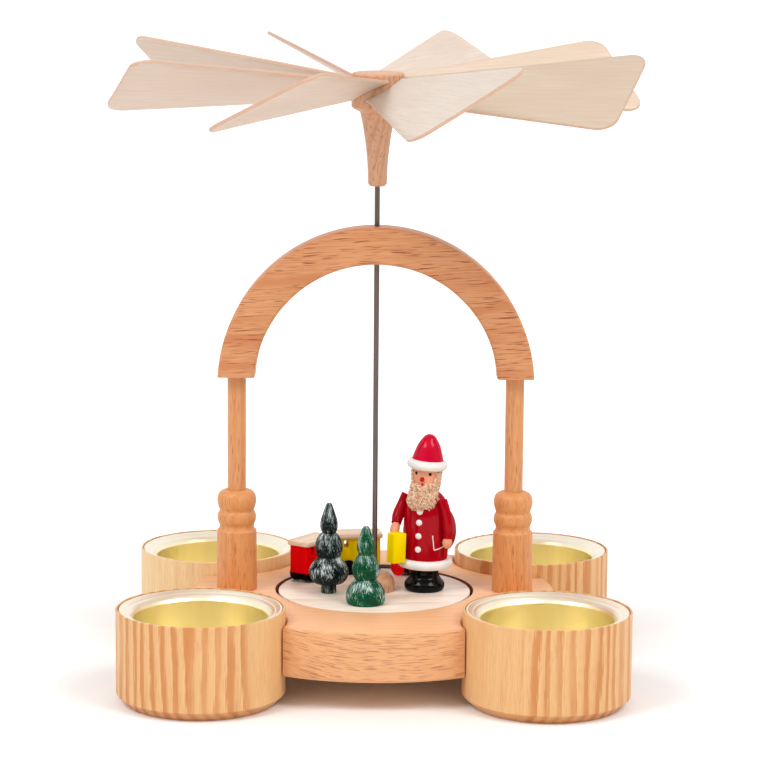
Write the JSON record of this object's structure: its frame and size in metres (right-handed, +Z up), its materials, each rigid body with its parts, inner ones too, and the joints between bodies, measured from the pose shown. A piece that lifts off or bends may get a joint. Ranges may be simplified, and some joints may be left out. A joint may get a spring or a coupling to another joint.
{
  "type": "christmas pyramid",
  "caption": "Wooden candle pyramid: tea-light cups round a base, an arch on columns, and a spindle with a bladed propeller that turns a scene of trees, a figure and a train.",
  "frame": {"origin": "on the table, under the spindle, at the centre of the four cups", "axes": "+Z up along the spindle, front towards -Y, arch across X"},
  "size_m": [0.1606, 0.1608, 0.1952],
  "materials": {
    "beech": "oiled beech with short dark flecks",
    "ash": "oiled ash with strong growth rings",
    "linden": "bare pale wood",
    "veneer": "bare pale veneer",
    "gold_tin": "gold lacquered tin",
    "spindle_steel": "drawn steel wire",
    "bearing_brass": "turned brass",
    "red_lacquer": "gloss lacquer on wood",
    "white_lacquer": "satin lacquer on wood",
    "black_lacquer": "gloss lacquer on wood",
    "flesh_lacquer": "satin lacquer on wood",
    "yellow_lacquer": "satin lacquer on wood",
    "green_lacquer": "gloss lacquer with white brush marks",
    "dark_green_lacquer": "gloss lacquer with white brush marks",
    "wood_shavings": "curled wood shavings"
  },
  "bodies": {
    "stand": {"base_plate": "beech", "base_ring": "beech", "cup_fl": "ash", "cup_fr": "ash", "cup_rl": "ash", "cup_rr": "ash", "cup_dowels": "beech", "column_foot_l": "beech", "column_foot_r": "beech", "post_l": "beech", "post_r": "beech", "arch": "beech", "bearing_cup": "bearing_brass"},
    "rotor": {"spindle": "spindle_steel", "turntable": "linden", "turntable_knob": "beech", "propeller_hub": "beech", "dark_tree": "dark_green_lacquer", "green_tree": "green_lacquer", "figure_boots": "black_lacquer", "figure_hem": "white_lacquer", "figure_coat": "red_lacquer", "figure_head": "flesh_lacquer", "figure_beard": "wood_shavings", "figure_brim": "white_lacquer", "figure_hat": "red_lacquer", "figure_sleeve_right": "red_lacquer", "figure_sleeve_left": "red_lacquer", "figure_hands": "flesh_lacquer", "figure_sack": "red_lacquer", "figure_parcel": "yellow_lacquer", "red_wagon_body": "red_lacquer", "red_wagon_chassis": "black_lacquer", "red_wagon_roof": "linden", "red_wagon_wheels": "black_lacquer", "yellow_wagon_body": "yellow_lacquer", "yellow_wagon_chassis": "black_lacquer", "yellow_wagon_roof": "linden", "yellow_wagon_wheels": "black_lacquer", "loco_chassis": "black_lacquer", "loco_boiler": "green_lacquer", "loco_cab": "red_lacquer", "loco_roof": "linden", "loco_chimney": "black_lacquer", "loco_wheels": "red_lacquer", "train_couplings": "spindle_steel", "blade_1": "veneer", "blade_2": "veneer", "blade_3": "veneer", "blade_4": "veneer", "blade_5": "veneer", "blade_6": "veneer", "blade_7": "veneer", "blade_8": "veneer"},
    "insert_fl": {"tin_insert_fl": "gold_tin"},
    "insert_fr": {"tin_insert_fr": "gold_tin"},
    "insert_rl": {"tin_insert_rl": "gold_tin"},
    "insert_rr": {"tin_insert_rr": "gold_tin"}
  },
  "joints": [
    {"name": "rotor_spin", "type": "hinge", "parent": "stand", "child": "rotor", "pos_m": [0, 0, 0.1], "axis": [0, 0, 1], "continuous": true},
    {"name": "tin_lift_fl", "type": "slide", "parent": "stand", "child": "insert_fl", "axis": [0, 0, 1], "range_m": [0, 0.02]},
    {"name": "tin_lift_fr", "type": "slide", "parent": "stand", "child": "insert_fr", "axis": [0, 0, 1], "range_m": [0, 0.02]},
    {"name": "tin_lift_rl", "type": "slide", "parent": "stand", "child": "insert_rl", "axis": [0, 0, 1], "range_m": [0, 0.02]},
    {"name": "tin_lift_rr", "type": "slide", "parent": "stand", "child": "insert_rr", "axis": [0, 0, 1], "range_m": [0, 0.02]}
  ]
}
